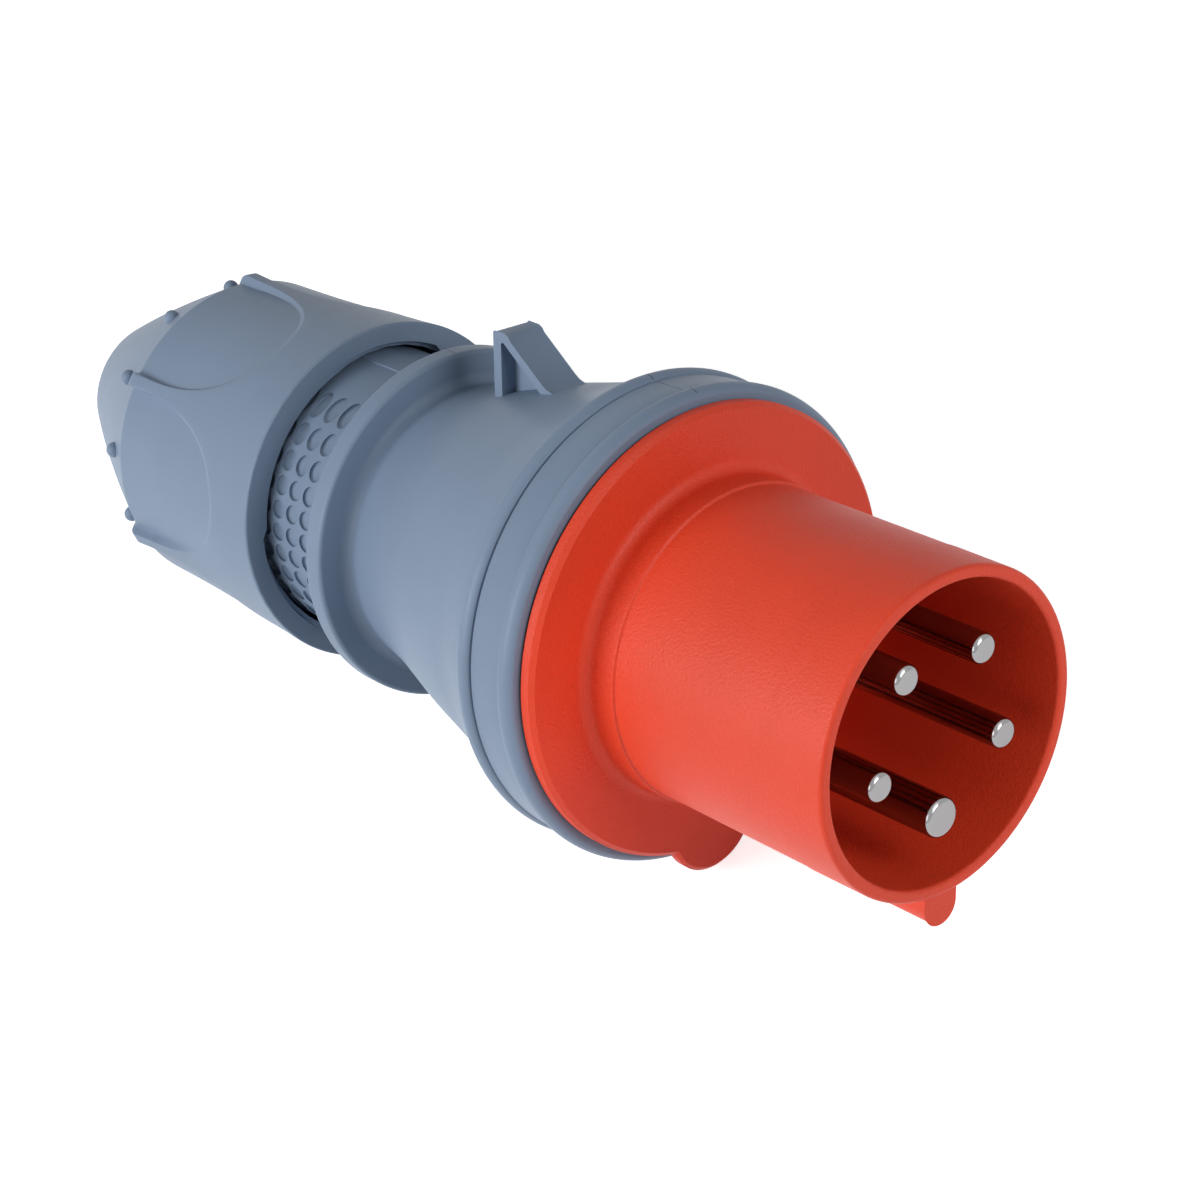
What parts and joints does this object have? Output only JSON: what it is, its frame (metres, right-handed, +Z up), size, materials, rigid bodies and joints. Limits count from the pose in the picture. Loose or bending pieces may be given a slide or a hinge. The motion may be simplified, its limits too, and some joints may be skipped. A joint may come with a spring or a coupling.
{
  "type": "industrial pin and sleeve plug",
  "caption": "Round industrial power plug: red pin sleeve with key and flange, grey tapered housing with locking hook, and a lobed screw gland for the cable.",
  "frame": {"origin": "centre of the bounding box on the table that the plug lies on", "axes": "+X points the way the pins face, raised about 5.7 degrees from the table; +Z is up; the locking hook leans to +Y by 18 degrees"},
  "size_m": [0.2548, 0.0962, 0.0966],
  "materials": {
    "red_plastic": "fine spark-eroded satin",
    "grey_plastic": "satin moulded",
    "carrier_plastic": "moulded",
    "cage_plastic": "moulded",
    "seal_rubber": "soft matt",
    "contact_metal": "bright nickel plate",
    "screw_steel": "zinc plated"
  },
  "bodies": {
    "plug": {"pin_shroud": "red_plastic", "pin_carrier": "carrier_plastic", "pin_pe": "contact_metal", "pin_l1": "contact_metal", "pin_l2": "contact_metal", "pin_l3": "contact_metal", "pin_n": "contact_metal", "terminal_screw_pe": "screw_steel", "terminal_screw_l1": "screw_steel", "terminal_screw_l2": "screw_steel", "terminal_screw_l3": "screw_steel", "terminal_screw_n": "screw_steel", "carrier_screw_1": "screw_steel", "carrier_screw_2": "screw_steel", "housing": "grey_plastic", "front_seal": "seal_rubber", "clamp_cage": "cage_plastic", "cable_seal": "seal_rubber"},
    "thrust": {"thrust_ring": "cage_plastic"},
    "nut": {"gland_nut": "grey_plastic"}
  },
  "joints": [
    {"name": "thrust_slide", "type": "slide", "parent": "plug", "child": "thrust", "axis": [0.9951, 0, 0.0988], "range_m": [0, 0.02025]},
    {"name": "nut_turn", "type": "hinge", "parent": "thrust", "child": "nut", "pos_m": [-0.03811, 0, 0.03923], "axis": [0.9951, 0, 0.0988], "range_deg": [0, 404.95]}
  ],
  "couplings": [
    {"joint": "thrust_slide", "follows": "nut_turn", "m_per_rad": 0.0028648}
  ]
}
